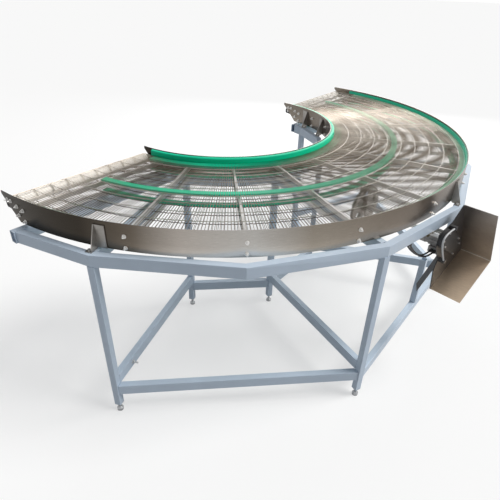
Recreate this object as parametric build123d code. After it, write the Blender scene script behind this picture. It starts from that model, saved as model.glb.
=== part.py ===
from build123d import *
import math
import os

# A half-circle mesh belt conveyor. All lengths are millimetres, Z is up from the floor.
# A bearing is an angle seen from above, 0 at the middle of the arc (towards -Y),
# negative towards the infeed end (-X) and positive towards the discharge end (+X).

# Small clearances
slip = 0.3
running_gap = 0.05

# Side walls
wall_top = 955.0
wall_height = 110.0
wall_sheet = 3.0
outer_wall_radius = 1358.0
inner_wall_radius = 628.5
wall_tip = 12.0

# Belt
rod_diameter = 2.0
rod_step = 0.6
link_row_count = 9
link_width = 5.0
link_height = 3.0

# Nose rollers at both ends
nose_offset = 28.0
roller_radius = 24.0
nose_shaft_radius = 10.0
roller_groove = 12.0
nose_steps = 6

# Strips that the belt slides on
strip_height = 12.0
return_strip_height = 10.0
strip_end_bearing = 82.0
guide_end_bearing = 84.0

# Cross bars under both runs
bar_width = 10.0
carry_bar_height = 20.0
return_bar_height = 18.0
bar_bearings = [9.2 + 18.4 * bar for bar in range(4)]
end_bar_offset = 135.0
tie_bar_offset = 75.0
tie_bar_width = 5.0

# Upper frame of rectangular tube
tube_height = 50.0
tube_width = 30.0
tube_wall = 2.0
corner_step = 23.1333
end_tube_face = 113.0
leg_corners = [-3, -1, 1, 3]
outer_bracket_bearings = [corner_step * corner for corner in (-3, 0, 3)]
inner_bracket_bearings = [corner_step * corner for corner in (-3, -2.2, 0, 2.2, 3)]
bracket_sheet = 4.0
bracket_width = 45.0

# Legs, rails and feet
leg_size = 30.0
leg_bottom = 42.0
radial_rail_top = 210.0
ring_rail_top = 160.0
foot_pad_radius = 14.0
foot_pad_height = 20.0
stud_radius = 5.0
stud_top = 76.0
insert_height = 26.0
nut_height = 8.0
nut_across_flats = 17.0
earth_inset = 123.0

# Drive. Its own frame is outward along the shaft, along the belt, and up from the shaft.
drive_bearing = -9.2
shaft_radius = 10.0
sprocket_teeth = 62
sprocket_radius = 105.0
hanger_thickness = 6.0
plate_thickness = 4.0
case_depth = 16.0
motor_along = 130.0
motor_drop = 80.0
motor_radius = 40.0
motor_length = 111.0
cowl_length = 32.0
guard_length = 139.0
guard_profile = [(134.0, 111.0), (265.0, -162.0), (25.0, -281.0)]
guard_sheet = 2.0
post_height = 280.0
post_x = 118.0
hose_diameter = 7.5
cable_diameter = 8.0

# Sizes worked out from the ones above
belt_top = wall_top - 25
belt_inner_radius = inner_wall_radius + 24.5
belt_outer_radius = outer_wall_radius - 18
rod_radius = rod_diameter / 2
rod_height = belt_top - rod_radius
wrap_radius = roller_radius + slip + rod_radius
nose_height = rod_height - wrap_radius
return_rod_height = nose_height - wrap_radius
strip_top = rod_height - rod_radius - slip
carry_bar_top = strip_top - strip_height
return_strip_top = return_rod_height - rod_radius - slip
return_bar_top = return_strip_top - return_strip_height
first_link_row = belt_inner_radius + 81
link_row_gap = (belt_outer_radius - 22 - first_link_row) / (link_row_count - 1)
link_rows = [first_link_row + link_row_gap * row for row in range(link_row_count)]
inner_strip = (belt_inner_radius - 1, belt_inner_radius + 37)
middle_strip = (link_rows[3] + 22, link_rows[3] + 52)
outer_strip = (belt_outer_radius - 50, belt_outer_radius - 20)
edge_strip = (belt_outer_radius - 17, belt_outer_radius + 9)
outer_wall_inside = outer_wall_radius - wall_sheet
inner_wall_inside = inner_wall_radius + wall_sheet
wall_faces = (inner_wall_inside, outer_wall_inside)
wall_bottom = wall_top - wall_height
inner_guide = (inner_wall_inside + slip, belt_inner_radius - 3)
inner_guide_z = (belt_top - 8, wall_top - 2)
outer_guide = (outer_wall_inside - 5.5, outer_wall_inside - slip)
outer_guide_z = (belt_top - 2, belt_top + 16)
tube_top = wall_bottom - 7
tube_bottom = tube_top - tube_height
outer_corner = outer_wall_radius + 58
inner_corner = inner_wall_radius - 51.5
mitre = math.cos(math.radians(corner_step / 2))
inner_tube_outside = inner_corner + tube_width / mitre
outer_tube_inside = outer_corner - tube_width / mitre
outer_leg_radius = outer_corner - leg_size / 2
inner_leg_radius = inner_corner + leg_size / 2
earth_radius = outer_leg_radius - earth_inset
sprocket_station = link_rows[4] + 9
shaft_height = return_rod_height - rod_radius - slip - sprocket_radius
shaft_start = sprocket_station - 35
hanger_stations = (sprocket_station - 20, sprocket_station + 20)
tube_station = outer_corner * mitre - tube_width / 2
plate_station = outer_corner + 11
shaft_end = plate_station + 14
case_station = plate_station + plate_thickness
motor_start = plate_station - motor_length
motor_height = shaft_height - motor_drop
box_height = motor_height - motor_radius - 15
box_side = motor_along - 27
rail_y = -outer_leg_radius * math.cos(math.radians(corner_step))
hose_station = case_station + case_depth + 5
cable_stations = (tube_station + 3, tube_station - 13)

parts = {}


ON_TOP = (Align.CENTER, Align.CENTER, Align.MIN)


def upright(radius, height):
    """A cylinder that stands on its origin."""
    return Cylinder(radius, height, align=ON_TOP)


def at(radius, bearing, height=0.0):
    turn = math.radians(bearing)
    return Vector(radius * math.sin(turn), -radius * math.cos(turn), height)


def facing(radius, bearing, height=0.0):
    """A place whose local X points outward and whose local Y follows the belt."""
    return Location(at(radius, bearing, height), (0, 0, bearing - 90))


def ring(radii, heights, bearings):
    """A flat band between two radii, two heights and two bearings."""
    width = radii[1] - radii[0]
    height = heights[1] - heights[0]
    section = Plane.XZ * Pos(radii[0] + width / 2, heights[0] + height / 2) * Rectangle(width, height)
    band = revolve(section, Axis.Z, bearings[1] - bearings[0])
    return Rot(0, 0, bearings[0] - 90) * band


def end_bearing(radius, offset):
    """The bearing at which a circle comes within an offset of the end line."""
    return 90 - math.degrees(math.asin(offset / radius))


def radial_box(radii, width, heights, bearing):
    length = radii[1] - radii[0]
    height = heights[1] - heights[0]
    place = facing(radii[0] + length / 2, bearing, heights[0] + height / 2)
    return place * Box(length, width, height)


def radial_rod(radii, radius, bearing, height, shift=0.0):
    """A round bar pointing outward, shifted along the belt if asked."""
    start = facing(radii[0], bearing, height) * Pos(0, shift, 0)
    return start * Rot(0, 90, 0) * upright(radius, radii[1] - radii[0])


def drive_place(station, along, height):
    return facing(station, drive_bearing, 0) * Pos(0, along, height)


def outward_prism(outline, station, length):
    """A plate outline, given along the belt and up, made thick outward along the drive shaft."""
    wire = Polyline(*[(0, along, height) for along, height in outline], close=True)
    face = make_face(wire)
    return facing(station, drive_bearing, 0) * extrude(face, length, dir=(1, 0, 0))


def slant_cutter():
    """Everything beyond the slanted ends of the side walls."""
    reach = 2 * outer_wall_radius
    slope = wall_height - wall_tip
    outline = [
        (0, wall_top + 5),
        (0, wall_top - wall_tip),
        (-slope, wall_bottom),
        (-slope, wall_bottom - 5),
        (200, wall_bottom - 5),
        (200, wall_top + 5),
    ]
    wire = Polyline(*[(0, y, z) for y, z in outline], close=True)
    return Pos(-reach / 2, 0, 0) * extrude(make_face(wire), reach, dir=(1, 0, 0))


def wall(radii):
    return ring(radii, (wall_bottom, wall_top), (-90, 90)) - slant_cutter()


# Distance from the end line and depth under the wall's top
end_block_bolts = [(38, 27), (62, 27), (100, 40), (100, 78)]


def side_bolt_places(radius):
    """Bearing and height of every bolt through a side wall of this radius."""
    places = []
    for side in (-1, 1):
        for bearing in bar_bearings:
            places.append((side * bearing, carry_bar_top - carry_bar_height / 2))
            places.append((side * bearing, return_bar_top - return_bar_height / 2))
        for offset, depth in end_block_bolts:
            places.append((side * end_bearing(radius, offset), wall_top - depth))
        end_bar = side * end_bearing(radius, end_bar_offset)
        places.append((end_bar, carry_bar_top - carry_bar_height / 2))
        places.append((end_bar, return_bar_top - return_bar_height / 2))
    return places


def hollow_seat(radius, half_width):
    """How far out a flat piece can sit inside a round wall before its edges touch."""
    return math.sqrt(radius ** 2 - half_width ** 2)


def hex_prism(across_flats, height):
    return extrude(RegularPolygon(across_flats / math.sqrt(3), 6), height)


def wall_bolts(radius, outward):
    """Nuts and stub ends that stand out of a side wall, away from the belt."""
    solids = []
    turn = 90 if outward else -90
    washer_radius = 8.0
    seat = radius if outward else hollow_seat(radius, washer_radius)
    for bearing, height in side_bolt_places(radius):
        place = facing(seat, bearing, height) * Rot(0, turn, 0)
        washer = upright(washer_radius, 1.5)
        nut = Pos(0, 0, 1.5) * hex_prism(11, 5.5)
        stub = upright(3.2, 13)
        solids.append(place * (washer + nut + stub))
    return solids


def fan_origin():
    """All belt rods point at this spot, so that the end ones lie along the nose shafts."""
    return Vector(0, -nose_offset, 0)


def rod_at(angle, height):
    """One belt rod, at an angle from -90 to 90 about the fan's origin."""
    turn = math.radians(angle)
    direction = Vector(math.sin(turn), -math.cos(turn), 0)
    reach = nose_offset * math.cos(turn)
    start = math.sqrt(belt_inner_radius ** 2 - (nose_offset * math.sin(turn)) ** 2) - reach
    stop = math.sqrt(belt_outer_radius ** 2 - (nose_offset * math.sin(turn)) ** 2) - reach
    origin = fan_origin() + direction * start + Vector(0, 0, height)
    return Solid.make_cylinder(rod_radius, stop - start, Plane(origin, z_dir=direction))


def belt_run(height):
    count = round(180 / rod_step)
    return Compound(children=[rod_at(-90 + rod_step * rod, height) for rod in range(count + 1)])


def belt_links(height):
    """Concentric rows of links on the inner side of the belt's loop."""
    rows = []
    for radius in link_rows:
        reach = end_bearing(radius, nose_offset)
        radii = (radius - link_width / 2, radius + link_width / 2)
        rows.append(ring(radii, (height, height + link_height), (-reach, reach)))
    return Compound(children=rows)


def nose_rods():
    """The rods that lie round the nose rollers, between the two runs."""
    rods = []
    for side in (-1, 1):
        for step in range(1, nose_steps):
            turn = math.pi * step / nose_steps
            y = -nose_offset + wrap_radius * math.sin(turn)
            z = nose_height + wrap_radius * math.cos(turn)
            inner = math.sqrt(belt_inner_radius ** 2 - nose_offset ** 2)
            outer = math.sqrt(belt_outer_radius ** 2 - nose_offset ** 2)
            plane = Plane(Vector(side * inner, y, z), z_dir=Vector(side, 0, 0))
            rods.append(Solid.make_cylinder(rod_radius, outer - inner, plane))
    return Compound(children=rods)


def nose_links():
    """Half rings that carry each link row round the nose."""
    rows = []
    outer = roller_radius
    inner = outer - link_height
    for side in (-1, 1):
        for radius in link_rows:
            centre = side * math.sqrt(radius ** 2 - nose_offset ** 2)
            tube = Cylinder(outer, link_width) - Cylinder(inner, link_width)
            tube = Rot(0, 90, 0) * tube
            half = Pos(0, outer + slip / 2, 0) * Box(link_width, 2 * outer, 2 * outer + 2)
            rows.append(Pos(centre, -nose_offset, nose_height) * (tube & half))
    return Compound(children=rows)


def nose_span():
    """Where the rollers begin and end along the shaft."""
    return belt_inner_radius + 1, belt_outer_radius - 3


def nose_rollers(side):
    """White roller segments, with a groove for each link row between them."""
    first, last = nose_span()
    edges = [first] + link_rows + [last]
    segments = []
    for index in range(len(edges) - 1):
        start = edges[index] + (roller_groove / 2 if index else 0)
        stop = edges[index + 1] - (roller_groove / 2 if index < len(edges) - 2 else 0)
        bore = upright(nose_shaft_radius + running_gap, stop - start)
        blank = upright(roller_radius, stop - start) - bore
        segments.append(Pos(side * start, -nose_offset, nose_height) * Rot(0, side * 90, 0) * blank)
    return Compound(children=segments)


def nose_shaft(side):
    start = inner_wall_inside + 4
    stop = outer_wall_inside - 5
    blank = upright(nose_shaft_radius, stop - start)
    return Pos(side * start, -nose_offset, nose_height) * Rot(0, side * 90, 0) * blank


def end_block(radii, side):
    """A bearing block that reaches past a side wall's slanted end, bored for the nose shaft."""
    outline = [
        (-112, nose_height - 46),
        (-112, nose_height + 15),
        (-20, nose_height + 15),
        (-14, nose_height + 9),
        (-14, nose_height - 9),
        (-20, nose_height - 15),
        (-54, nose_height - 15),
        (-85, nose_height - 46),
    ]
    profile = make_face(Polyline(*[(0, y, z) for y, z in outline], close=True))
    slab = extrude(profile, side * 2 * outer_wall_radius, dir=(1, 0, 0))
    bearings = (60, 100) if side > 0 else (-100, -60)
    band = ring(radii, (wall_bottom, wall_top), bearings)
    bore = Pos(0, -nose_offset, nose_height) * Rot(0, 90, 0)
    return (band & slab) - bore * Cylinder(nose_shaft_radius + running_gap, 4 * outer_wall_radius)


def end_blocks():
    solids = []
    for side in (-1, 1):
        solids.append(end_block((belt_outer_radius + 2, outer_wall_inside), side))
        solids.append(end_block((inner_wall_inside, belt_inner_radius - 2), side))
    return Compound(children=solids)


def carry_strip(radii):
    return ring(radii, (carry_bar_top, strip_top), (-strip_end_bearing, strip_end_bearing))


def return_strip_band(radii):
    return ring(radii, (return_bar_top, return_strip_top), (-strip_end_bearing, strip_end_bearing))


def return_strips():
    strips = (inner_strip, middle_strip, outer_strip)
    return Compound(children=[return_strip_band(radii) for radii in strips])


def outer_guide_strip():
    """Thin upright strip along the outer wall, over the belt's edge."""
    return ring(outer_guide, outer_guide_z, (-guide_end_bearing, guide_end_bearing))


def inner_guide_strip():
    """Rides on the inner wall's belt side and guards the belt's inner edge."""
    body = ring(inner_guide, inner_guide_z, (-guide_end_bearing, guide_end_bearing))
    crown = body.edges().filter_by(GeomType.CIRCLE).group_by(Axis.Z)[-1]
    return fillet(crown, 6)


def bar_reach():
    """The square end of a bar meets the round wall with its two corners."""
    return hollow_seat(outer_wall_inside, bar_width / 2)


def wall_to_wall(heights, bearing):
    return radial_box((inner_wall_inside, bar_reach()), bar_width, heights, bearing)


def end_bar(heights, side, offset=end_bar_offset, width=bar_width, radii=wall_faces):
    """A bar parallel to the end line, from one round face to another."""
    height = heights[1] - heights[0]
    inner = math.sqrt(radii[0] ** 2 - (offset - width / 2) ** 2)
    outer = math.sqrt(radii[1] ** 2 - (offset + width / 2) ** 2)
    middle = side * (inner + outer) / 2
    return Pos(middle, -offset, heights[0] + height / 2) * Box(outer - inner, width, height)


def tie_bars():
    """Thin bars between the bearing blocks at both ends."""
    heights = (carry_bar_top - 12, carry_bar_top)
    radii = (belt_inner_radius - 2, belt_outer_radius + 2)
    return [end_bar(heights, side, tie_bar_offset, tie_bar_width, radii) for side in (-1, 1)]


def carry_bars():
    heights = (carry_bar_top - carry_bar_height, carry_bar_top)
    bars = [wall_to_wall(heights, side * bearing) for side in (-1, 1) for bearing in bar_bearings]
    return Compound(children=bars + tie_bars() + [end_bar(heights, side) for side in (-1, 1)])


def return_bars():
    """The bar over the drive shaft is in two halves, with the sprocket between them."""
    heights = (return_bar_top - return_bar_height, return_bar_top)
    gap = (hanger_stations[0] - hanger_thickness / 2, hanger_stations[1] + hanger_thickness / 2)
    bars = []
    for side in (-1, 1):
        for bearing in bar_bearings:
            if side * bearing == drive_bearing:
                bars.append(radial_box((inner_wall_inside, gap[0]), bar_width, heights, drive_bearing))
                bars.append(radial_box((gap[1], bar_reach()), bar_width, heights, drive_bearing))
            else:
                bars.append(wall_to_wall(heights, side * bearing))
        bars.append(end_bar(heights, side))
    return Compound(children=bars)


def between(first, second, share):
    return first + (second - first) * share


def plan_tube(plan, top):
    """A hollow level tube from its plan corners: outer start and end, then inner end and start."""
    outer_start, outer_end, inner_end, inner_start = plan
    share = tube_wall / tube_width
    hollow = [
        between(outer_start, inner_start, share),
        between(outer_end, inner_end, share),
        between(outer_end, inner_end, 1 - share),
        between(outer_start, inner_start, 1 - share),
    ]
    bottom = top - tube_height
    outside = Polyline(*[(p.X, p.Y, bottom) for p in plan], close=True)
    solid = extrude(make_face(outside), tube_height, dir=(0, 0, 1))
    inside = Polyline(*[(p.X, p.Y, bottom + tube_wall) for p in hollow], close=True)
    return solid - extrude(make_face(inside), tube_height - 2 * tube_wall, dir=(0, 0, 1))


def at_line(first, second, y):
    """The point of a straight line that has this Y."""
    return between(first, second, (y - first.Y) / (second.Y - first.Y))


def polygon_tubes(outer_radius, inner_radius):
    """One ring of straight tubes, mitred at the corners and butted to the end tubes."""
    tubes = []
    for corner in range(-3, 3):
        first = corner * corner_step
        second = first + corner_step
        plan = [at(outer_radius, first), at(outer_radius, second)]
        plan += [at(inner_radius, second), at(inner_radius, first)]
        tubes.append(plan_tube(plan, tube_top))
    back = -end_tube_face - tube_width
    for side in (-1, 1):
        last = side * 3 * corner_step
        corner = side * math.degrees(math.acos(end_tube_face / outer_radius))
        outer = at(outer_radius, last)
        inner = at(inner_radius, last)
        direction = at(outer_radius, corner) - outer
        outer_far = at_line(outer, outer + direction, back)
        inner_far = at_line(inner, inner + direction, back)
        tubes.append(plan_tube([outer, outer_far, inner_far, inner], tube_top))
    return Compound(children=tubes)


def end_tubes():
    """Upper tubes across both ends."""
    outer_x = math.sqrt(outer_corner ** 2 - end_tube_face ** 2)
    inner_x = math.sqrt(inner_corner ** 2 - end_tube_face ** 2)
    tubes = []
    for side in (-1, 1):
        plan = [
            Vector(side * inner_x, -end_tube_face, 0),
            Vector(side * outer_x, -end_tube_face, 0),
            Vector(side * outer_x, -end_tube_face - tube_width, 0),
            Vector(side * inner_x, -end_tube_face - tube_width, 0),
        ]
        tubes.append(plan_tube(plan, tube_top))
    return Compound(children=tubes)


def radial_tube(radii, bearing, top):
    centre = facing(0, bearing)
    half = tube_width / 2
    corners = [(radii[0], half), (radii[1], half), (radii[1], -half), (radii[0], -half)]
    plan = [(centre * Pos(x, y, 0)).position for x, y in corners]
    return plan_tube(plan, top)


def upper_radial_tubes():
    stop = outer_tube_inside - tube_width / 2 * math.tan(math.radians(corner_step / 2))
    reach = (inner_tube_outside, stop)
    return Compound(children=[radial_tube(reach, corner * corner_step, tube_top) for corner in leg_corners])


def leg(radius, bearing):
    height = tube_top - tube_height - leg_bottom
    place = facing(radius, bearing, leg_bottom + height / 2)
    inside = leg_size - 2 * tube_wall
    return place * (Box(leg_size, leg_size, height) - Box(inside, inside, height))


def legs(radius):
    return Compound(children=[leg(radius, corner * corner_step) for corner in leg_corners])


def leg_inserts(radius):
    """Threaded plugs in the leg ends."""
    plugs = []
    for corner in leg_corners:
        inside = leg_size - 2 * tube_wall
        plug = Box(inside, inside, insert_height) - Cylinder(stud_radius + running_gap, insert_height)
        plugs.append(facing(radius, corner * corner_step, leg_bottom + insert_height / 2) * plug)
    return plugs


def lower_radial_rails():
    reach = (inner_leg_radius + leg_size / 2, outer_leg_radius - leg_size / 2)
    rails = [radial_tube(reach, corner * corner_step, radial_rail_top) for corner in leg_corners]
    return Compound(children=rails)


def ring_rail(radius, first, second):
    """A straight rail from the side of one leg to the side of the next."""
    start = at(radius, first)
    stop = at(radius, second)
    along = (stop - start).normalized()
    across = Vector(along.Y, -along.X, 0) * (tube_width / 2)
    half_turn = math.radians((second - first) / 2)
    corners = []
    for offset in (across, across * -1):
        sideways = offset.dot(at(1, (first + second) / 2))
        trim = leg_size / 2 / math.cos(half_turn) - sideways * math.tan(half_turn)
        corners.append((start + offset + along * trim, stop + offset - along * trim))
    (outer_start, outer_end), (inner_start, inner_end) = corners
    return plan_tube([outer_start, outer_end, inner_end, inner_start], ring_rail_top)


def ring_rails(radius):
    bearings = [corner * corner_step for corner in leg_corners]
    return [ring_rail(radius, bearings[i], bearings[i + 1]) for i in range(len(bearings) - 1)]


def foot(radius, bearing):
    """A levelling foot: a round pad with a domed shoulder and its threaded stud."""
    pad = upright(foot_pad_radius, 12)
    shoulder_height = foot_pad_height - 12
    shoulder = Pos(0, 0, 12 + shoulder_height / 2) * Cone(foot_pad_radius, 7, shoulder_height)
    stud = Pos(0, 0, foot_pad_height) * upright(stud_radius, stud_top - foot_pad_height)
    return facing(radius, bearing, 0) * (pad + shoulder + stud)


def lock_nuts():
    nuts = []
    for radius in (outer_leg_radius, inner_leg_radius):
        for corner in leg_corners:
            nut = hex_prism(nut_across_flats, nut_height)
            nut = nut - upright(stud_radius + running_gap, nut_height)
            nuts.append(facing(radius, corner * corner_step, leg_bottom - nut_height) * nut)
    return Compound(children=nuts)


def gusset(wall_face, way, bearing):
    """The upright web of a bracket: narrow at the wall's top, wide on the tube."""
    top = wall_top - 17
    outline = [
        (wall_face, top),
        (wall_face + way * 5, top),
        (wall_face + way * 38, tube_top + 12),
        (wall_face + way * 38, tube_top),
        (wall_face + way * 4, tube_top),
        (wall_face, wall_bottom),
    ]
    face = make_face(Polyline(*[(radius, 0, height) for radius, height in outline], close=True))
    web = extrude(face, bracket_sheet, dir=(0, 1, 0))
    return facing(0, bearing) * web


def bracket(wall_face, way, bearing):
    """A bent bracket: a flange along the wall, an upright web and a foot on the tube."""
    web_face = wall_face if way > 0 else hollow_seat(wall_face, bracket_sheet)
    web = gusset(web_face, way, bearing)
    turn = math.degrees(bracket_width / wall_face)
    radii = (wall_face, wall_face + bracket_sheet) if way > 0 else (wall_face - bracket_sheet, wall_face)
    flange = ring(radii, (wall_bottom, wall_top - 17), (bearing, bearing + turn))
    foot_plate = Pos(wall_face + way * 31, -11 + bracket_sheet / 2, tube_top + bracket_sheet / 2)
    foot_plate = facing(0, bearing) * foot_plate * Box(22, 22 + bracket_sheet, bracket_sheet)
    return web + flange + foot_plate


def brackets(wall_face, way, bearings):
    return Compound(children=[bracket(wall_face, way, bearing) for bearing in bearings])


def bracket_bolts(wall_face, way, bearings):
    """A screw head on the foot of each bracket."""
    screws = []
    for bearing in bearings:
        place = facing(wall_face + way * 31, bearing, tube_top + bracket_sheet)
        screws.append(place * Pos(0, -11, 0) * hex_prism(10, 6))
    return screws


def drive_shaft():
    return radial_rod((shaft_start, shaft_end), shaft_radius, drive_bearing, shaft_height)


def drive_sprocket():
    """A thin toothed wheel whose teeth end just under the rods of the return run."""
    thickness = 14.0
    root = sprocket_radius - 5
    pitch = 360 / sprocket_teeth
    outline = []
    for tooth in range(sprocket_teeth):
        middle = tooth * pitch
        flank = [(root, -0.30), (sprocket_radius, -0.12), (sprocket_radius, 0.12), (root, 0.30)]
        for radius, offset in flank:
            turn = math.radians(middle + offset * pitch)
            outline.append((radius * math.cos(turn), radius * math.sin(turn)))
    disc = extrude(make_face(Polyline(*outline, close=True)), thickness / 2, both=True)
    wheel = disc + Cylinder(25, 28) - Cylinder(shaft_radius + running_gap, 40)
    for hole in range(6):
        wheel = wheel - Rot(0, 0, 60 * hole) * Pos(sprocket_radius * 0.6, 0, 0) * Cylinder(20, 40)
    return drive_place(sprocket_station, 0, shaft_height) * Rot(0, 90, 0) * wheel


def hanger_plates():
    """Plates under the cut return bar that carry the inner end of the drive shaft."""
    plates = []
    bottom = shaft_height - 26
    for station in hanger_stations:
        height = return_bar_top - bottom
        plate = Box(hanger_thickness, 44, height)
        bore = Rot(0, 90, 0) * Cylinder(shaft_radius + running_gap, 20)
        plate = drive_place(station, 0, bottom + height / 2) * plate
        plates.append(plate - drive_place(station, 0, shaft_height) * bore)
    return Compound(children=plates)


def bearing_block():
    """Pillow block under the outer frame tube."""
    base_station = tube_station - 12
    start, stop = tube_station - 35, tube_station - 5
    drop = tube_bottom - shaft_height
    foot_plate = drive_place(base_station, 0, tube_bottom - 4) * Box(50, 76, 8)
    body = drive_place((start + stop) / 2, 0, tube_bottom - drop) * Box(stop - start, 46, 2 * (drop - 4))
    ring_boss = radial_rod((start - 3, stop + 3), 22, drive_bearing, shaft_height)
    bore = radial_rod((start - 20, stop + 20), shaft_radius + running_gap, drive_bearing, shaft_height)
    top_cut = drive_place(base_station, 0, tube_bottom + 20) * Box(120, 120, 40)
    return (foot_plate + body + ring_boss) - bore - top_cut


def raised(outline):
    """An outline given up from the shaft, moved to the shaft's height."""
    return [(along, shaft_height + rise) for along, rise in outline]


def mounting_plate():
    """Dark plate that carries the gear case, the motor and the guard."""
    outline = raised([(61, 52), (-44, 30), (-44, -32), (12, -120), (0, -172)] + guard_profile[::-1])
    plate = outward_prism(outline, plate_station, plate_thickness)
    span = (plate_station - 5, plate_station + 20)
    hole = radial_rod(span, shaft_radius + 2, drive_bearing, shaft_height)
    return plate - hole


def gear_case():
    """Slim case outside the plate, from the motor's pinion to the drive shaft."""
    low = Vector(motor_along, motor_height)
    high = Vector(0, shaft_height)
    slot = SlotCenterToCenter((high - low).length, 84)
    angle = math.degrees(math.atan2(high.Y - low.Y, high.X - low.X))
    face = Plane.YZ * Pos((low.X + high.X) / 2, (low.Y + high.Y) / 2) * Rot(0, 0, angle) * slot
    case = facing(case_station, drive_bearing, 0) * extrude(face, case_depth, dir=(1, 0, 0))
    pocket_span = (case_station - 1, shaft_end + 2)
    return case - radial_rod(pocket_span, shaft_radius + running_gap, drive_bearing, shaft_height)


def case_screws():
    """Cap screws round the gear case."""
    places = [(-28, 0), (14, 22), (0, -38)]
    places += [(motor_along + along, rise - motor_drop) for along, rise in ((28, 0), (-14, -38), (0, 36))]
    screws = []
    for along, height in raised(places):
        place = drive_place(case_station + case_depth, along, height) * Rot(0, 90, 0)
        screws.append(place * upright(4, 5))
    return screws


def motor_body():
    """Motor on the conveyor side of the plate, with cooling ribs."""
    core = motor_radius - 3
    body = radial_rod((motor_start, plate_station), core, drive_bearing, motor_height, motor_along)
    middle = drive_place((motor_start + plate_station) / 2, motor_along, motor_height)
    for rib in range(12):
        body = body + middle * Rot(30 * rib, 0, 0) * Pos(0, 0, core) * Box(motor_length - 30, 3, 8)
    return body


def motor_cowl():
    """Fan cowl on the motor's free end."""
    span = (motor_start - cowl_length, motor_start)
    return radial_rod(span, motor_radius, drive_bearing, motor_height, motor_along)


def terminal_box():
    """Box under the motor that takes the two cables."""
    return drive_place(plate_station - 62, motor_along, box_height) * Box(50, 54, 28)


def guard_sheets():
    """Folded stainless sheet outside the mounting plate."""
    (ax, az), (dx, dz), (fx, fz) = raised(guard_profile)
    upper = Vector(dx - ax, dz - az).normalized()
    lower = Vector(fx - dx, fz - dz).normalized()
    upper_out = Vector(-upper.Y, upper.X) * guard_sheet
    lower_out = Vector(-lower.Y, lower.X) * guard_sheet
    fold = (upper_out + lower_out) * (guard_sheet ** 2 / (guard_sheet ** 2 + upper_out.dot(lower_out)))
    outline = [
        (ax, az),
        (dx, dz),
        (fx, fz),
        (fx + lower_out.X, fz + lower_out.Y),
        (dx + fold.X, dz + fold.Y),
        (ax + upper_out.X, az + upper_out.Y),
    ]
    return outward_prism(outline, case_station, guard_length)


def drive_post():
    """Post that stands on the lower outer rail beside the drive."""
    inside = leg_size - 2 * tube_wall
    place = Pos(post_x, rail_y, ring_rail_top + post_height / 2)
    return place * (Box(leg_size, leg_size, post_height) - Box(inside, inside, post_height))


def drive_arm():
    """Square tube from the post's foot up to the back of the mounting plate."""
    size = 24.0
    low = Vector(post_x, rail_y - leg_size / 2 + size, ring_rail_top + 60)
    high = drive_place(plate_station + size, -6, shaft_height - 52).position
    across = Vector(low.X + 1, low.Y, low.Z)
    plane = Plane(low, x_dir=across - low, z_dir=high - low)
    length = (high - low).length
    hole = size - 2 * tube_wall
    arm = extrude(plane * Rectangle(size, size), length) - extrude(plane * Rectangle(hole, hole), length)
    post_side = Pos(post_x, rail_y - leg_size / 2 + 100, ring_rail_top) * Box(400, 200, 400)
    plate_side = drive_place(plate_station + 100, 0, shaft_height) * Box(200, 400, 400)
    return arm - post_side - plate_side


hose_route = raised([(38, 38), (-46, 38), (-46, -22), (20, -112)])
cable_route = [
    (-176, tube_bottom - 10),
    (-150, tube_bottom - 38),
    (-95, shaft_height - 68),
    (-35, shaft_height - 108),
    (30, box_height),
    (box_side - 16, box_height),
]


def drive_path(station, route, bend):
    points = [drive_place(station, along, height).position for along, height in route]
    return FilletPolyline(*points, radius=bend)


def swept(path, diameter):
    start = Plane(path @ 0, z_dir=path % 0)
    return sweep(start * Circle(diameter / 2), path=path)


def hose():
    """Cable hose that loops over the edge of the drive, from block to block."""
    return swept(drive_path(hose_station, hose_route, 38), hose_diameter)


def motor_cable(station):
    """Cable that sags from a clip under the frame tube to the terminal box."""
    return swept(drive_path(station, cable_route, 45), cable_diameter)


def cable_ends():
    """Blocks for the hose, and clips and glands for the cables."""
    solids = []
    depth = hose_station + 7 - case_station
    first, last = hose_route[0], hose_route[-1]
    side = (Vector(*last) - Vector(*hose_route[-2])).normalized() * 8
    for along, height in ((first[0] + 8, first[1]), (last[0] + side.X, last[1] + side.Y)):
        tilt = 0 if height > shaft_height else math.degrees(math.atan2(side.Y, side.X))
        place = drive_place(case_station + depth / 2, along, height)
        solids.append(place * Rot(tilt, 0, 0) * Box(depth, 16, 16))
    start, after = Vector(*cable_route[0]), Vector(*cable_route[1])
    back = (start - after).normalized()
    middle = start + back * 5
    turn = Rot(math.degrees(math.atan2(back.Y, back.X)), 0, 0)
    stem_height = tube_bottom - start.Y
    for station in cable_stations:
        clip = drive_place(station, middle.X, middle.Y) * turn
        stem = drive_place(station, middle.X, tube_bottom - stem_height / 2) * Box(12, 10, stem_height)
        cable_side = clip * Pos(0, -15, 0) * Box(30, 20, 60)
        over_tube_bottom = drive_place(station, start.X, tube_bottom + 50) * Box(60, 60, 100)
        solids.append(clip * Box(12, 10, 12) + (stem - cable_side) - over_tube_bottom)
        gland = Rot(90, 0, 0) * Cylinder(7.5, 16)
        solids.append(drive_place(station, box_side - 8, cable_route[-1][1]) * gland)
    return Compound(children=solids)


def earth_stud():
    """Earth bolt on the side of the first lower radial rail."""
    bearing = leg_corners[0] * corner_step
    place = facing(earth_radius, bearing, radial_rail_top - tube_height / 2)
    place = place * Pos(0, tube_width / 2, 0) * Rot(-90, 0, 0)
    shank = upright(4, 26)
    washer = upright(9, 2)
    nut = Pos(0, 0, 2) * hex_prism(13, 6.5)
    return place * (shank + washer + nut)


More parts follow.
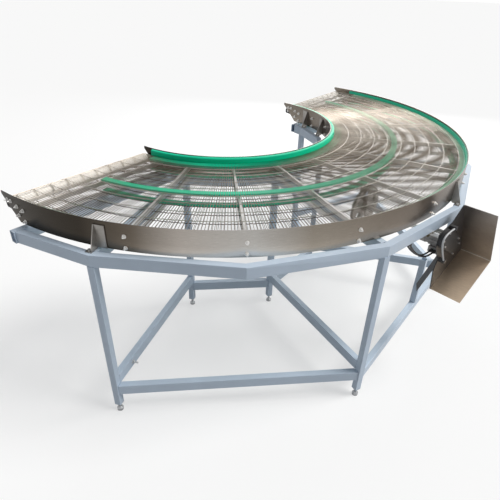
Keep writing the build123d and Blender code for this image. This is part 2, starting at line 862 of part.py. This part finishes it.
def build():
    parts["outer_side_wall"] = wall((outer_wall_inside, outer_wall_radius))
    parts["inner_side_wall"] = wall((inner_wall_radius, inner_wall_inside))
    parts["outer_guide_strip"] = outer_guide_strip()
    parts["inner_guide_strip"] = inner_guide_strip()
    parts["belt_carry_rods"] = belt_run(rod_height)
    parts["belt_return_rods"] = belt_run(return_rod_height)
    parts["belt_nose_rods"] = nose_rods()
    parts["belt_carry_links"] = belt_links(strip_top - link_height)
    parts["belt_return_links"] = belt_links(return_rod_height + rod_radius + slip)
    parts["belt_nose_links"] = nose_links()
    parts["green_carry_strips"] = Compound(children=[carry_strip(inner_strip), carry_strip(middle_strip)])
    parts["outer_carry_strip"] = carry_strip(edge_strip)
    parts["return_strips"] = return_strips()
    parts["carry_cross_bars"] = carry_bars()
    parts["return_cross_bars"] = return_bars()
    bolts = wall_bolts(outer_wall_radius, True) + wall_bolts(inner_wall_radius, False)
    parts["side_wall_bolts"] = Compound(children=bolts)
    for side, name in ((-1, "infeed"), (1, "discharge")):
        parts[name + "_nose_shaft"] = nose_shaft(side)
        parts[name + "_nose_rollers"] = nose_rollers(side)
    parts["nose_end_blocks"] = end_blocks()
    parts["outer_frame_tubes"] = polygon_tubes(outer_corner, outer_tube_inside)
    parts["inner_frame_tubes"] = polygon_tubes(inner_tube_outside, inner_corner)
    parts["end_frame_tubes"] = end_tubes()
    parts["radial_frame_tubes"] = upper_radial_tubes()
    parts["outer_legs"] = legs(outer_leg_radius)
    parts["inner_legs"] = legs(inner_leg_radius)
    parts["leg_inserts"] = Compound(children=leg_inserts(outer_leg_radius) + leg_inserts(inner_leg_radius))
    parts["lower_radial_rails"] = lower_radial_rails()
    rails = ring_rails(outer_leg_radius) + ring_rails(inner_leg_radius)
    parts["lower_ring_rails"] = Compound(children=rails)
    for place, radius in (("outer", outer_leg_radius), ("inner", inner_leg_radius)):
        for index, corner in enumerate(leg_corners):
            parts[f"{place}_foot_{index + 1}"] = foot(radius, corner * corner_step)
    parts["foot_lock_nuts"] = lock_nuts()
    parts["outer_wall_brackets"] = brackets(outer_wall_radius, 1, outer_bracket_bearings)
    parts["inner_wall_brackets"] = brackets(inner_wall_radius, -1, inner_bracket_bearings)
    outer_screws = bracket_bolts(outer_wall_radius, 1, outer_bracket_bearings)
    inner_screws = bracket_bolts(inner_wall_radius, -1, inner_bracket_bearings)
    parts["bracket_bolts"] = Compound(children=outer_screws + inner_screws)
    parts["drive_shaft"] = drive_shaft()
    parts["drive_sprocket"] = drive_sprocket()
    parts["drive_hangers"] = hanger_plates()
    parts["drive_bearing_block"] = bearing_block()
    parts["drive_mounting_plate"] = mounting_plate()
    parts["gear_case"] = gear_case()
    parts["gear_case_screws"] = Compound(children=case_screws())
    parts["motor_body"] = motor_body()
    parts["motor_fan_cowl"] = motor_cowl()
    parts["motor_terminal_box"] = terminal_box()
    parts["drive_guard"] = guard_sheets()
    parts["drive_post"] = drive_post()
    parts["drive_arm"] = drive_arm()
    parts["cable_ends"] = cable_ends()
    parts["cable_hose"] = hose()
    parts["motor_cable_1"] = motor_cable(cable_stations[0])
    parts["motor_cable_2"] = motor_cable(cable_stations[1])
    parts["earth_stud"] = earth_stud()


def footprint_centre():
    low_x = low_y = math.inf
    high_x = high_y = -math.inf
    for shape in parts.values():
        box = shape.bounding_box()
        low_x, high_x = min(low_x, box.min.X), max(high_x, box.max.X)
        low_y, high_y = min(low_y, box.min.Y), max(high_y, box.max.Y)
    return (low_x + high_x) / 2, (low_y + high_y) / 2


def write_parts():
    """Move the origin to the floor under the middle of the footprint and write every piece."""
    middle_x, middle_y = footprint_centre()
    os.makedirs("parts", exist_ok=True)
    for name, shape in parts.items():
        export_step(Pos(-middle_x, -middle_y, 0) * shape, f"parts/{name}.step")


build()
write_parts()
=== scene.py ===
import bpy
import math
from mathutils import Matrix, Vector


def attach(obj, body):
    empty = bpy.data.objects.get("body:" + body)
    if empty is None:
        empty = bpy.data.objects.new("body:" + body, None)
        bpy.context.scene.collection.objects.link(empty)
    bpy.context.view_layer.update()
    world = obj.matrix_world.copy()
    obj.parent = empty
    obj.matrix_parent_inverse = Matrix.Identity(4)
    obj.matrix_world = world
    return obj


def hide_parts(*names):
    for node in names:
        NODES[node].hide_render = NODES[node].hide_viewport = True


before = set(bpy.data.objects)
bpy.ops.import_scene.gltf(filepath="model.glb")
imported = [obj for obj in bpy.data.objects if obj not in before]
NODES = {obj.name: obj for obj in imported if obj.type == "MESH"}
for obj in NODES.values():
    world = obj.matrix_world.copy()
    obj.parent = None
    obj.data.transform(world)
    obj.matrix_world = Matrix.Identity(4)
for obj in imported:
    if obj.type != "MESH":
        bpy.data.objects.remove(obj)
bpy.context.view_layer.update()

MM = 0.001
# The ring's centre lies behind the origin, which is under the middle of the footprint. The routes of the
# cords and the sizes of the belt are in millimetres, all else in this file is in metres.
RING_Y = 0.7963
QUARTER_TURN = math.pi / 2
ROOT = "frame"


# Camera

LENS = 31.5
SENSOR_WIDTH = 36.0
CAMERA_SHIFT = (0.0042, -0.0024)
CAMERA_CLIP = (0.05, 200.0)
CAMERA_PLACE = (-2.011, -0.9457, 1.685)
CAMERA_TILT = math.radians(31.61)
CAMERA_AZIMUTH = math.radians(37.57)
CAMERA_ROLL = -0.0255


def make_camera():
    """The photograph's viewing angle: azimuth and downward tilt, then a small roll about the view line."""
    data = bpy.data.cameras.new("camera")
    data.lens = LENS
    data.sensor_width = SENSOR_WIDTH
    data.shift_x, data.shift_y = CAMERA_SHIFT
    data.clip_start, data.clip_end = CAMERA_CLIP
    camera = bpy.data.objects.new("camera", data)
    bpy.context.scene.collection.objects.link(camera)
    level = math.cos(CAMERA_TILT)
    forward = Vector((
        level * math.cos(CAMERA_AZIMUTH),
        level * math.sin(CAMERA_AZIMUTH),
        -math.sin(CAMERA_TILT),
    ))
    right = forward.cross(Vector((0, 0, 1))).normalized()
    down = forward.cross(right).normalized()
    right_rolled = right * math.cos(CAMERA_ROLL) + down * math.sin(CAMERA_ROLL)
    up = right_rolled.cross(forward).normalized()
    turn = Matrix((right_rolled, up, -forward)).transposed()
    camera.matrix_world = Matrix.Translation(CAMERA_PLACE) @ turn.to_4x4()
    bpy.context.scene.camera = camera


make_camera()


# Shader helpers that both the stage and the materials use

def link(tree, a, b):
    tree.links.new(a, b)


def calc(tree, operation, *values):
    """One math node, fed by plain numbers or by other nodes' outputs."""
    node = tree.nodes.new("ShaderNodeMath")
    node.operation = operation
    for socket, value in zip(node.inputs, values):
        if isinstance(value, float):
            socket.default_value = value
        else:
            link(tree, value, socket)
    return node.outputs[0]


# Light and floor

WORLD_COLOUR = (0.93, 0.96, 1.0, 1)
WORLD_STRENGTH = 0.34
WHITE = (1, 1, 1, 1)
WHITE_IN_GLOSS = 0.62
SUN_STRENGTH = 2.7
SUN_ANGLE = math.radians(30)
SUN_COLOUR = (1.0, 0.985, 0.96)
SUN_FROM = Vector((0.39, -0.51, 0.77))
PANEL_SIZE = (3.4, 1.6)
PANEL_POWER = 70.0
PANEL_PLACE = Vector((4.2, 1.9, 1.9))
PANEL_AIM = Vector((0.7, 0.1, 0.93))
FLOOR_HALF = 60.0
FLOOR_COLOUR = (0.46, 0.46, 0.46, 1)
FLOOR_GLOW_SEEN = 0.49
FLOOR_GLOW_IN_GLOSS = 0.30


def facing(direction):
    """The turn that points a lamp's back along this direction, so that it shines the other way."""
    return direction.to_track_quat("Z", "Y").to_euler()


def make_world():
    """A dim pale world that lights the object, seen as white, and nearly so in reflections."""
    world = bpy.data.worlds.new("studio")
    world.use_nodes = True
    bpy.context.scene.world = world
    tree = world.node_tree
    tree.nodes.clear()
    out = tree.nodes.new("ShaderNodeOutputWorld")
    dim = tree.nodes.new("ShaderNodeBackground")
    dim.inputs["Color"].default_value = WORLD_COLOUR
    dim.inputs["Strength"].default_value = WORLD_STRENGTH
    white = tree.nodes.new("ShaderNodeBackground")
    white.inputs["Color"].default_value = WHITE
    white.inputs["Strength"].default_value = 1.0
    path = tree.nodes.new("ShaderNodeLightPath")
    seen = calc(tree, "MAXIMUM", path.outputs["Is Camera Ray"], path.outputs["Is Transmission Ray"])
    gloss = calc(tree, "MULTIPLY", path.outputs["Is Glossy Ray"], WHITE_IN_GLOSS)
    mix = tree.nodes.new("ShaderNodeMixShader")
    link(tree, calc(tree, "MAXIMUM", seen, gloss), mix.inputs["Fac"])
    link(tree, dim.outputs[0], mix.inputs[1])
    link(tree, white.outputs[0], mix.inputs[2])
    link(tree, mix.outputs[0], out.inputs["Surface"])


def make_lamps():
    sun = bpy.data.lights.new("soft_sun", "SUN")
    sun.energy = SUN_STRENGTH
    sun.angle = SUN_ANGLE
    sun.color = SUN_COLOUR
    lamp = bpy.data.objects.new("soft_sun", sun)
    lamp.rotation_euler = facing(SUN_FROM)
    bpy.context.scene.collection.objects.link(lamp)

    panel = bpy.data.lights.new("far_panel", "AREA")
    panel.shape = "RECTANGLE"
    panel.size, panel.size_y = PANEL_SIZE
    panel.energy = PANEL_POWER
    lamp = bpy.data.objects.new("far_panel", panel)
    lamp.location = PANEL_PLACE
    lamp.rotation_euler = facing(PANEL_PLACE - PANEL_AIM)
    lamp.visible_camera = False
    bpy.context.scene.collection.objects.link(lamp)


def make_floor():
    """A plain pale floor that glows a little for the camera and in reflections, and keeps the shadow."""
    mesh = bpy.data.meshes.new("floor")
    far = FLOOR_HALF
    mesh.from_pydata([(-far, -far, 0), (far, -far, 0), (far, far, 0), (-far, far, 0)], [], [(0, 1, 2, 3)])
    floor = bpy.data.objects.new("floor", mesh)
    bpy.context.scene.collection.objects.link(floor)
    material = bpy.data.materials.new("floor_pale")
    material.use_nodes = True
    tree = material.node_tree
    tree.nodes.clear()
    out = tree.nodes.new("ShaderNodeOutputMaterial")
    diffuse = tree.nodes.new("ShaderNodeBsdfDiffuse")
    diffuse.inputs["Color"].default_value = FLOOR_COLOUR
    glow = tree.nodes.new("ShaderNodeEmission")
    glow.inputs["Color"].default_value = WHITE
    path = tree.nodes.new("ShaderNodeLightPath")
    seen = calc(tree, "MULTIPLY", path.outputs["Is Camera Ray"], FLOOR_GLOW_SEEN)
    amount = calc(tree, "MULTIPLY_ADD", path.outputs["Is Glossy Ray"], FLOOR_GLOW_IN_GLOSS, seen)
    link(tree, amount, glow.inputs["Strength"])
    add = tree.nodes.new("ShaderNodeAddShader")
    link(tree, diffuse.outputs[0], add.inputs[0])
    link(tree, glow.outputs[0], add.inputs[1])
    link(tree, add.outputs[0], out.inputs["Surface"])
    mesh.materials.append(material)


bpy.context.scene.view_settings.view_transform = "Standard"
make_world()
make_lamps()
make_floor()


# Materials

WALL_HEIGHTS = (0.845, 0.955)
GUARD_FOLD_HEIGHTS = (0.60, 0.62)


def ring_coordinates(tree):
    """Bearing on the ring in radians, then radius and height in metres, from the shared frame."""
    where = tree.nodes.new("ShaderNodeTexCoord")
    split = tree.nodes.new("ShaderNodeSeparateXYZ")
    link(tree, where.outputs["Object"], split.inputs[0])
    across = split.outputs["X"]
    back = calc(tree, "SUBTRACT", RING_Y, split.outputs["Y"])
    squares = calc(tree, "ADD", calc(tree, "MULTIPLY", across, across), calc(tree, "MULTIPLY", back, back))
    join = tree.nodes.new("ShaderNodeCombineXYZ")
    link(tree, calc(tree, "ARCTAN2", across, back), join.inputs["X"])
    link(tree, calc(tree, "SQRT", squares), join.inputs["Y"])
    link(tree, split.outputs["Z"], join.inputs["Z"])
    return join.outputs[0]


def object_coordinates(tree):
    return tree.nodes.new("ShaderNodeTexCoord").outputs["Object"]


def scaled(tree, vector, scale):
    grow = tree.nodes.new("ShaderNodeVectorMath")
    grow.operation = "MULTIPLY"
    grow.inputs[1].default_value = scale
    link(tree, vector, grow.inputs[0])
    return grow.outputs[0]


def noise(tree, vector, detail=3.0, roughness=0.5):
    texture = tree.nodes.new("ShaderNodeTexNoise")
    texture.inputs["Scale"].default_value = 1.0
    texture.inputs["Detail"].default_value = detail
    texture.inputs["Roughness"].default_value = roughness
    link(tree, vector, texture.inputs["Vector"])
    return texture.outputs["Fac"]


def ramp(tree, value, stops):
    node = tree.nodes.new("ShaderNodeValToRGB")
    elements = node.color_ramp.elements
    elements[0].position = stops[0][0]
    elements[0].color = (*stops[0][1], 1)
    elements[1].position = stops[-1][0]
    elements[1].color = (*stops[-1][1], 1)
    for position, colour in stops[1:-1]:
        elements.new(position).color = (*colour, 1)
    link(tree, value, node.inputs["Fac"])
    return node.outputs["Color"]


def two_tones(tree, value, low, high):
    """From one colour to the other over the middle of a noise's range."""
    return ramp(tree, value, [(0.3, low), (0.7, high)])


def remap(tree, value, **ranges):
    """A map range node, with its limits given by name."""
    node = tree.nodes.new("ShaderNodeMapRange")
    for name, limit in ranges.items():
        node.inputs[name.replace("_", " ").title()].default_value = limit
    link(tree, value, node.inputs["Value"])
    return node.outputs["Result"]


def start_material(name, metallic, specular=0.5):
    material = bpy.data.materials.new(name)
    material.use_nodes = True
    tree = material.node_tree
    shader = tree.nodes["Principled BSDF"]
    shader.inputs["Metallic"].default_value = metallic
    shader.inputs["Specular IOR Level"].default_value = specular
    return material, tree, shader


def roughen(tree, shader, value, rough):
    link(tree, remap(tree, value, to_min=rough[0], to_max=rough[1]), shader.inputs["Roughness"])


def bump(tree, shader, value, strength, distance):
    node = tree.nodes.new("ShaderNodeBump")
    node.inputs["Strength"].default_value = strength
    node.inputs["Distance"].default_value = distance
    link(tree, value, node.inputs["Height"])
    link(tree, node.outputs[0], shader.inputs["Normal"])


def multiplied(tree, first, second):
    node = tree.nodes.new("ShaderNodeMix")
    node.data_type = "RGBA"
    node.blend_type = "MULTIPLY"
    node.inputs["Factor"].default_value = 1.0
    link(tree, first, node.inputs["A"])
    link(tree, second, node.inputs["B"])
    return node.outputs["Result"]


def bands(tree, axis, low, high, stops):
    """Tones along one of the ring coordinates: X is the bearing, Y the radius and Z the height."""
    split = tree.nodes.new("ShaderNodeSeparateXYZ")
    link(tree, ring_coordinates(tree), split.inputs[0])
    return ramp(tree, remap(tree, split.outputs[axis], from_min=low, from_max=high), stops)


def grey(value):
    return (value, value, value)


def darker(colour, shade):
    return tuple(part * shade for part in colour)


def wall_painted_light(tree):
    """Painted light on the walls: dark painted shade at the infeed end, then a painted pale reflection, and
    an even brown from there on; towards the bottom they are painted lighter.
    """
    round_painted_light = bands(tree, "X", -QUARTER_TURN, QUARTER_TURN, [
        (0.0, (0.085, 0.073, 0.06)),
        (0.10, (0.085, 0.073, 0.06)),
        (0.15, (0.30, 0.26, 0.22)),
        (0.19, (0.88, 0.83, 0.79)),
        (0.25, grey(1.0)),
        (0.30, (0.55, 0.50, 0.44)),
        (0.40, (0.45, 0.39, 0.34)),
        (0.52, (0.42, 0.37, 0.33)),
        (1.0, (0.42, 0.38, 0.34)),
    ])
    height_painted_light = bands(tree, "Z", *WALL_HEIGHTS, [
        (0.0, grey(1.0)),
        (0.15, grey(0.97)),
        (0.4, grey(0.80)),
        (1.0, grey(0.74)),
    ])
    return multiplied(tree, round_painted_light, height_painted_light)


def belt_painted_light(tree):
    """Painted light on the wires: painted glare makes them pale at the infeed nose and on the far half, and
    painted shade leaves them brown between them.
    """
    return bands(tree, "X", -QUARTER_TURN, QUARTER_TURN, [
        (0.0, grey(1.25)),
        (0.02, grey(1.1)),
        (0.05, (0.52, 0.46, 0.41)),
        (0.32, (0.52, 0.46, 0.41)),
        (0.42, (0.96, 0.91, 0.84)),
        (0.56, (1.06, 1.02, 0.96)),
        (0.72, grey(1.55)),
        (0.80, grey(1.60)),
        (0.92, (0.62, 0.56, 0.50)),
        (1.0, grey(1.2)),
    ])


def guard_tint(tree):
    """The upper wing is in shadow, the lower one is lit, and the fold shines."""
    return bands(tree, "Z", *GUARD_FOLD_HEIGHTS, [
        (0.0, (1.6, 1.34, 1.08)),
        (0.42, (1.6, 1.38, 1.14)),
        (0.5, grey(2.2)),
        (0.58, (0.88, 0.86, 0.88)),
        (1.0, (0.86, 0.84, 0.86)),
    ])


def brushed(name, dark, light, grain, rough=(0.25, 0.42), ring=False, cloud=3.0, tint=None):
    """Brushed sheet: fine grain stretched one way, with slow clouds of tone; a tint, where one is given,
    multiplies in painted light and shade.
    """
    material, tree, shader = start_material(name, 1.0)
    where = ring_coordinates(tree) if ring else object_coordinates(tree)
    fine = noise(tree, scaled(tree, where, grain), 4.0, 0.6)
    slow = noise(tree, scaled(tree, where, (cloud, cloud, cloud * 2)), 2.0)
    streak = two_tones(tree, fine, grey(0.82), grey(1.0))
    colour = multiplied(tree, two_tones(tree, slow, dark, light), streak)
    if tint:
        colour = multiplied(tree, colour, tint(tree))
    link(tree, colour, shader.inputs["Base Color"])
    roughen(tree, shader, fine, rough)
    bump(tree, shader, fine, 0.15, 0.0002)
    return material


def painted(name, colour, rough=(0.32, 0.45), shade=0.92):
    """Sprayed paint: faint orange peel, a little dust in slow clouds."""
    material, tree, shader = start_material(name, 0.0)
    where = object_coordinates(tree)
    peel = noise(tree, scaled(tree, where, grey(420)), 2.0)
    slow = noise(tree, scaled(tree, where, grey(5)), 4.0, 0.6)
    link(tree, two_tones(tree, slow, darker(colour, shade), colour), shader.inputs["Base Color"])
    roughen(tree, shader, slow, rough)
    bump(tree, shader, peel, 0.12, 0.0004)
    return material


def plastic(name, colour, rough=(0.3, 0.5), shade=0.85, ring=False, specular=0.5):
    """Milled or moulded plastic: soft gloss with faint tool marks."""
    material, tree, shader = start_material(name, 0.0, specular)
    if ring:
        where = scaled(tree, ring_coordinates(tree), (6, 700, 700))
    else:
        where = scaled(tree, object_coordinates(tree), grey(260))
    fine = noise(tree, where)
    slow = noise(tree, scaled(tree, object_coordinates(tree), grey(8)))
    link(tree, two_tones(tree, slow, darker(colour, shade), colour), shader.inputs["Base Color"])
    roughen(tree, shader, fine, rough)
    bump(tree, shader, fine, 0.1, 0.0002)
    return material


def cast(name, colour):
    """Rough casting: coarse grit and dark patches."""
    material, tree, shader = start_material(name, 0.0, 0.3)
    where = object_coordinates(tree)
    grit = noise(tree, scaled(tree, where, grey(600)), 4.0, 0.7)
    slow = noise(tree, scaled(tree, where, grey(40)))
    link(tree, two_tones(tree, slow, darker(colour, 0.7), colour), shader.inputs["Base Color"])
    roughen(tree, shader, grit, (0.5, 0.75))
    bump(tree, shader, grit, 0.35, 0.0006)
    return material


MATERIALS = {
    # The walls carry painted shade and painted reflections through their tint.
    "wall": brushed("wall_brushed", (0.66, 0.63, 0.59), (0.88, 0.86, 0.82), (40, 900, 900), (0.18, 0.32),
                    ring=True, cloud=2.2, tint=wall_painted_light),
    # The belt wire carries painted glare and painted shade through its tint.
    "wire": brushed("belt_wire", (0.33, 0.28, 0.23), (0.60, 0.54, 0.47), grey(300), (0.22, 0.38),
                    cloud=6.0, tint=belt_painted_light),
    # Painted shade: the return run is the same wire as the carry run, made dark because it lies in shade
    # under it.
    "under": brushed("return_wire_painted_shade", (0.045, 0.038, 0.032), (0.085, 0.074, 0.064), grey(300), (0.3, 0.45),
                     cloud=6.0),
    "link": brushed("belt_link", (0.52, 0.47, 0.41), (0.78, 0.73, 0.67), grey(500), (0.22, 0.38),
                    cloud=9.0),
    "bright": brushed("bright_bar", (0.72, 0.71, 0.69), (0.88, 0.87, 0.85), (30, 30, 800), (0.3, 0.45),
                      cloud=8.0),
    "bolt": brushed("bolt_steel", (0.62, 0.62, 0.62), (0.82, 0.82, 0.81), grey(500), (0.25, 0.4),
                    cloud=30.0),
    "wall_bolt": brushed("wall_bolt_steel", (0.86, 0.85, 0.83), (0.95, 0.94, 0.92), grey(300), (0.3, 0.45),
                         cloud=30.0),
    "bracket": brushed("bracket_steel", (0.30, 0.28, 0.26), (0.46, 0.44, 0.41), (60, 60, 700), (0.28, 0.42),
                       cloud=9.0),
    "guard": brushed("guard_sheet", (0.40, 0.38, 0.35), (0.54, 0.51, 0.47), (500, 40, 60), (0.3, 0.45),
                     cloud=5.0, tint=guard_tint),
    "zinc": brushed("zinc_foot", (0.40, 0.41, 0.43), (0.58, 0.59, 0.60), grey(300), (0.35, 0.5),
                    cloud=50.0),
    "paint": painted("frame_paint", (0.55, 0.65, 0.77)),
    "black": painted("drive_black", (0.020, 0.020, 0.022), (0.35, 0.5), 0.7),
    "green": plastic("green_plastic", (0.0, 0.64, 0.36), (0.34, 0.48), 0.92, ring=True, specular=0.25),
    # Painted light: the outer guide is the same green plastic as the inner one, made lighter where it is
    # lit.
    "lit_green": plastic("green_plastic_painted_light", (0.07, 0.86, 0.55), (0.34, 0.48), 0.94,
                           ring=True, specular=0.25),
    # Painted glare: the outer carry strip is the same green plastic, washed pale by glare.
    "pale": plastic("pale_plastic", (0.36, 0.70, 0.52), (0.35, 0.5), 0.9, ring=True),
    "white": plastic("white_plastic", (0.93, 0.92, 0.89), (0.3, 0.45), 0.97),
    "block": plastic("block_plastic", (0.05, 0.05, 0.052), (0.4, 0.55), 0.8),
    "rubber": plastic("cable_rubber", (0.025, 0.025, 0.027), (0.4, 0.55), 0.8),
    "sheath": plastic("hose_sheath", (0.60, 0.61, 0.62), (0.35, 0.5), 0.9),
    "casting": cast("bearing_cast", (0.30, 0.25, 0.15)),
    "motor": cast("motor_cast", (0.56, 0.53, 0.52)),
}

DRESS = {
    "wall": ["outer_side_wall", "inner_side_wall"],
    "wire": ["belt_carry_rods", "belt_nose_rods"],
    "under": ["belt_return_rods", "belt_return_links"],
    "link": ["belt_carry_links", "belt_nose_links"],
    "bright": ["carry_cross_bars", "return_cross_bars", "drive_shaft", "infeed_nose_shaft",
               "discharge_nose_shaft"],
    "wall_bolt": ["side_wall_bolts"],
    "bolt": ["bracket_bolts", "gear_case_screws", "earth_stud", "foot_lock_nuts"],
    "bracket": ["outer_wall_brackets", "inner_wall_brackets", "drive_hangers", "drive_sprocket"],
    "guard": ["drive_guard"],
    "zinc": [f"{ring}_foot_{number}" for ring in ("outer", "inner") for number in range(1, 5)],
    "paint": ["outer_frame_tubes", "inner_frame_tubes", "end_frame_tubes", "radial_frame_tubes",
              "outer_legs", "inner_legs", "lower_radial_rails", "lower_ring_rails", "drive_post"],
    "black": ["drive_mounting_plate", "gear_case", "drive_arm"],
    "motor": ["motor_body", "motor_fan_cowl", "motor_terminal_box"],
    "lit_green": ["outer_guide_strip"],
    "green": ["inner_guide_strip", "green_carry_strips", "return_strips"],
    # Painted glare on the outer carry strip.
    "pale": ["outer_carry_strip"],
    "white": ["infeed_nose_rollers", "discharge_nose_rollers"],
    "block": ["nose_end_blocks", "cable_ends", "leg_inserts"],
    "casting": ["drive_bearing_block"],
}


def dress_nodes():
    for key, names in DRESS.items():
        for name in names:
            mesh = NODES[name].data
            mesh.materials.clear()
            mesh.materials.append(MATERIALS[key])


dress_nodes()


# Cords, along the route points of the solids

DRIVE_BEARING = math.radians(-9.2)
HOSE_ROUTE = [(38, 810.1), (-46, 810.1), (-46, 750.1), (20, 660.1)]
CABLE_ROUTE = [(-176, 778), (-150, 750), (-95, 704.1), (-35, 664.1), (30, 637.1), (87, 637.1)]
# Name, route, distance along the drive shaft, diameter, length in metres, look and slot.
CORDS = [
    ("cable_hose", HOSE_ROUTE, 1452.0, 7.5, 0.2385, "sheath", "hose_grey"),
    ("motor_cable_1", CABLE_ROUTE, 1375.24, 8.0, 0.3091, "rubber", "cable_black"),
    ("motor_cable_2", CABLE_ROUTE, 1359.24, 8.0, 0.3091, "rubber", "cable_black"),
]
CORD_BEVEL_STEPS = 5
CORD_LENGTH_STEPS = 16
CORD_ORDER = 3


def drive_point(station, along, height):
    """Millimetres outward along the drive shaft, along the belt and up, to metres in the shared frame."""
    x = station * math.sin(DRIVE_BEARING) + along * math.cos(DRIVE_BEARING)
    y = along * math.sin(DRIVE_BEARING) - station * math.cos(DRIVE_BEARING)
    return Vector((x * MM, RING_Y + y * MM, height * MM))


def lay_cords():
    for name, route, station, diameter, length, look, slot in CORDS:
        points = [drive_point(station, along, height) for along, height in route]
        data = bpy.data.curves.new(name + "_run", "CURVE")
        data.dimensions = "3D"
        data.bevel_depth = diameter / 2 * MM
        data.bevel_resolution = CORD_BEVEL_STEPS
        data.use_fill_caps = True
        data.resolution_u = CORD_LENGTH_STEPS
        spline = data.splines.new("NURBS")
        spline.points.add(len(points) - 1)
        for target, point in zip(spline.points, points):
            target.co = (*point, 1)
        spline.order_u = CORD_ORDER
        spline.use_endpoint_u = True
        data.materials.append(MATERIALS[look])
        piece = bpy.data.objects.new(name + "_run", data)
        bpy.context.scene.collection.objects.link(piece)
        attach(piece, ROOT)
        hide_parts(name)


lay_cords()


# Belt links

STEP = 0.6
SWEEP = 180
NOSE = 28.0
ROD_Z = 929.0
WRAP = 25.3
NOSE_Z = ROD_Z - WRAP
RETURN_Z = NOSE_Z - WRAP
NOSE_STEPS = 6
LINK_HEIGHT = 3.0
LINK_WIDTH = 1.1
# Neighbouring plates of a row stand a little inward and outward by turns, so that they pass each other.
LINK_SHIFT = 1.3
FIRST_LINK_ROW = 734
LINK_ROW_GAP = 73
LINK_ROW_COUNT = 9
LINK_ROWS = [FIRST_LINK_ROW + LINK_ROW_GAP * row for row in range(LINK_ROW_COUNT)]
PLATE_END_POINTS = 5


def plate_end(centre, along, up, start):
    """Half a circle of points round one end of a plate."""
    half = LINK_HEIGHT * MM / 2
    points = []
    for step in range(PLATE_END_POINTS):
        turn = start + math.pi * step / (PLATE_END_POINTS - 1)
        points.append(centre + along * (half * math.cos(turn)) + up * (half * math.sin(turn)))
    return points


def plates(name, placed, look, node):
    """Flat oblong plates, each from one rod to the next, in one mesh that stands for a node's solids."""
    vertices = []
    faces = []
    for first, second, across in placed:
        along = (second - first).normalized()
        side = across.normalized()
        up = side.cross(along)
        outline = plate_end(second, along, up, -QUARTER_TURN) + plate_end(first, along, up, QUARTER_TURN)
        half_width = side * (LINK_WIDTH * MM / 2)
        count = len(outline)
        base = len(vertices)
        vertices += [point - half_width for point in outline]
        vertices += [point + half_width for point in outline]
        faces.append(tuple(base + i for i in reversed(range(count))))
        faces.append(tuple(base + count + i for i in range(count)))
        for i in range(count):
            j = (i + 1) % count
            faces.append((base + i, base + j, base + count + j, base + count + i))
    mesh = bpy.data.meshes.new(name)
    mesh.from_pydata([tuple(v) for v in vertices], [], faces)
    mesh.materials.append(MATERIALS[look])
    piece = bpy.data.objects.new(name, mesh)
    bpy.context.scene.collection.objects.link(piece)
    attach(piece, ROOT)
    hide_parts(node)


def shifted(step):
    return LINK_SHIFT if step % 2 else -LINK_SHIFT


def rod_point(angle, radius, height):
    """Where the rod at this fan angle crosses a ring radius."""
    turn = math.radians(angle)
    reach = math.sqrt(radius ** 2 - (NOSE * math.sin(turn)) ** 2) - NOSE * math.cos(turn)
    return Vector((
        reach * math.sin(turn) * MM,
        RING_Y + (-NOSE - reach * math.cos(turn)) * MM,
        height * MM,
    ))


def run_links(name, height, look, node):
    """The links of the carry or the return run, which lies level."""
    placed = []
    for radius in LINK_ROWS:
        for step in range(round(SWEEP / STEP)):
            start = STEP * step - SWEEP / 2
            first = rod_point(start, radius + shifted(step), height)
            second = rod_point(start + STEP, radius + shifted(step), height)
            placed.append((first, second, first - Vector((0, RING_Y - NOSE * MM, height * MM))))
    plates(name, placed, look, node)


def nose_point(x, turn):
    return Vector((
        x * MM,
        RING_Y + (-NOSE + WRAP * math.sin(turn)) * MM,
        (NOSE_Z + WRAP * math.cos(turn)) * MM,
    ))


def nose_links():
    """The links that wrap half round the rollers at both ends."""
    placed = []
    for side in (-1, 1):
        for radius in LINK_ROWS:
            x = side * math.sqrt(radius ** 2 - NOSE ** 2)
            for step in range(NOSE_STEPS):
                first = nose_point(x + shifted(step), math.pi * step / NOSE_STEPS)
                second = nose_point(x + shifted(step), math.pi * (step + 1) / NOSE_STEPS)
                placed.append((first, second, Vector((1, 0, 0))))
    plates("nose_links", placed, "link", "belt_nose_links")


run_links("carry_links", ROD_Z, "link", "belt_carry_links")
run_links("return_links", RETURN_Z, "under", "belt_return_links")
nose_links()


# Rounded edges on the painted tubes

WELD_DISTANCE = 0.00002
EDGE_WIDTH = 0.003
EDGE_SEGMENTS = 3
EDGE_ANGLE = math.radians(40)


def soften(name):
    node = NODES[name]
    weld = node.modifiers.new("weld", "WELD")
    weld.merge_threshold = WELD_DISTANCE
    edge = node.modifiers.new("edge", "BEVEL")
    edge.width = EDGE_WIDTH
    edge.segments = EDGE_SEGMENTS
    edge.limit_method = "ANGLE"
    edge.angle_limit = EDGE_ANGLE
    edge.harden_normals = True


for name in DRESS["paint"]:
    soften(name)
